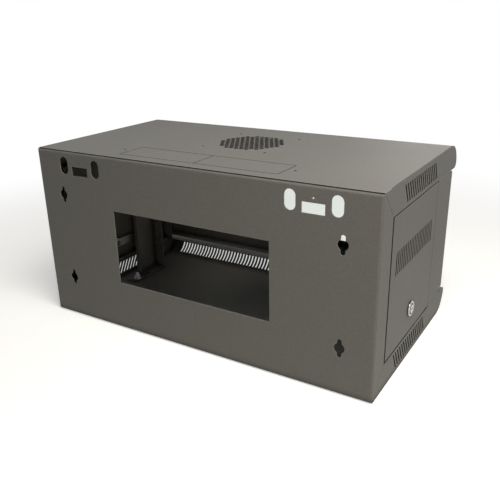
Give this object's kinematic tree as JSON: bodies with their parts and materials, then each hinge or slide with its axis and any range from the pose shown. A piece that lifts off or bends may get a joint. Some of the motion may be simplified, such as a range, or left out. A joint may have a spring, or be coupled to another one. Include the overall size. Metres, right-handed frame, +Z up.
{
  "type": "wall mount network cabinet",
  "caption": "Compact wall-mount rack cabinet for 19-inch network equipment, with a glazed front door, lift-off vented sides, a fan grille, and a cable opening in its back.",
  "frame": {"origin": "middle of the footprint, at the underside", "axes": "+Z up, the glazed door looks along -Y and the wall face along +Y, +X to the right of someone facing the door"},
  "size_m": [0.546, 0.31, 0.266],
  "materials": {
    "case_paint": "fine-textured dark grey powder coat, semi-matte",
    "clear_glass": "clear tempered glass, polished",
    "seal_rubber": "black rubber, matte",
    "zinc_steel": "bright zinc-plated steel, satin",
    "lock_chrome": "bright chrome plating"
  },
  "bodies": {
    "case": {"back_panel": "case_paint", "top_panel": "case_paint", "bottom_panel": "case_paint", "left_front_post": "case_paint", "right_front_post": "case_paint", "lower_hinge_pin": "zinc_steel", "earth_stud": "zinc_steel", "earth_washer": "zinc_steel", "earth_nut": "zinc_steel", "lower_left_rail_stud": "zinc_steel", "lower_right_rail_stud": "zinc_steel", "upper_left_rail_stud": "zinc_steel", "upper_right_rail_stud": "zinc_steel", "lower_left_rail_nut": "zinc_steel", "lower_right_rail_nut": "zinc_steel", "upper_left_rail_nut": "zinc_steel", "upper_right_rail_nut": "zinc_steel"},
    "door": {"door_frame": "case_paint", "door_glass": "clear_glass", "door_seal": "seal_rubber", "hinge_guide_bracket": "zinc_steel", "upper_hinge_spring": "zinc_steel", "door_lock_body": "lock_chrome", "door_lock_nut": "zinc_steel", "lower_left_glass_clip": "zinc_steel", "lower_right_glass_clip": "zinc_steel", "upper_left_glass_clip": "zinc_steel", "upper_right_glass_clip": "zinc_steel"},
    "hinge_pin": {"upper_hinge_pin": "zinc_steel"},
    "door_lock": {"door_lock_plug": "lock_chrome", "door_lock_cam": "zinc_steel"},
    "left_panel": {"left_side_panel": "case_paint", "left_panel_lock_body": "lock_chrome", "left_panel_lock_nut": "zinc_steel"},
    "left_lock": {"left_panel_lock_plug": "lock_chrome", "left_panel_lock_cam": "zinc_steel"},
    "right_panel": {"right_side_panel": "case_paint", "right_panel_lock_body": "lock_chrome", "right_panel_lock_nut": "zinc_steel"},
    "right_lock": {"right_panel_lock_plug": "lock_chrome", "right_panel_lock_cam": "zinc_steel"},
    "left_rail": {"left_rack_rail": "case_paint"},
    "right_rail": {"right_rack_rail": "case_paint"}
  },
  "joints": [
    {"name": "door_hinge", "type": "hinge", "parent": "case", "child": "door", "pos_m": [-0.2635, -0.133, 0.13475], "axis": [0, 0, -1], "range_deg": [0, 130]},
    {"name": "hinge_pin_slide", "type": "slide", "parent": "door", "child": "hinge_pin", "axis": [0, 0, -1], "range_m": [0, 0.008], "stiffness_N_per_m": 500, "springref_m": -0.004, "deforming": ["upper_hinge_spring"]},
    {"name": "door_lock_turn", "type": "hinge", "parent": "door", "child": "door_lock", "pos_m": [0.236, -0.141, 0.13475], "axis": [0, -1, 0], "range_deg": [0, 90]},
    {"name": "left_panel_swing", "type": "hinge", "parent": "case", "child": "left_panel", "pos_m": [-0.27, 0.0245, 0.228], "axis": [0, 1, 0], "range_deg": [0, 20]},
    {"name": "left_lock_turn", "type": "hinge", "parent": "left_panel", "child": "left_lock", "pos_m": [-0.27, 0.0245, 0.074], "axis": [1, 0, 0], "range_deg": [0, 90]},
    {"name": "left_rail_slide", "type": "slide", "parent": "case", "child": "left_rail", "axis": [0, 1, 0], "range_m": [0, 0.03]},
    {"name": "right_panel_swing", "type": "hinge", "parent": "case", "child": "right_panel", "pos_m": [0.27, 0.0245, 0.228], "axis": [0, -1, 0], "range_deg": [0, 20]},
    {"name": "right_lock_turn", "type": "hinge", "parent": "right_panel", "child": "right_lock", "pos_m": [0.27, 0.0245, 0.074], "axis": [1, 0, 0], "range_deg": [0, 90]},
    {"name": "right_rail_slide", "type": "slide", "parent": "case", "child": "right_rail", "axis": [0, 1, 0], "range_m": [0, 0.03]}
  ]
}
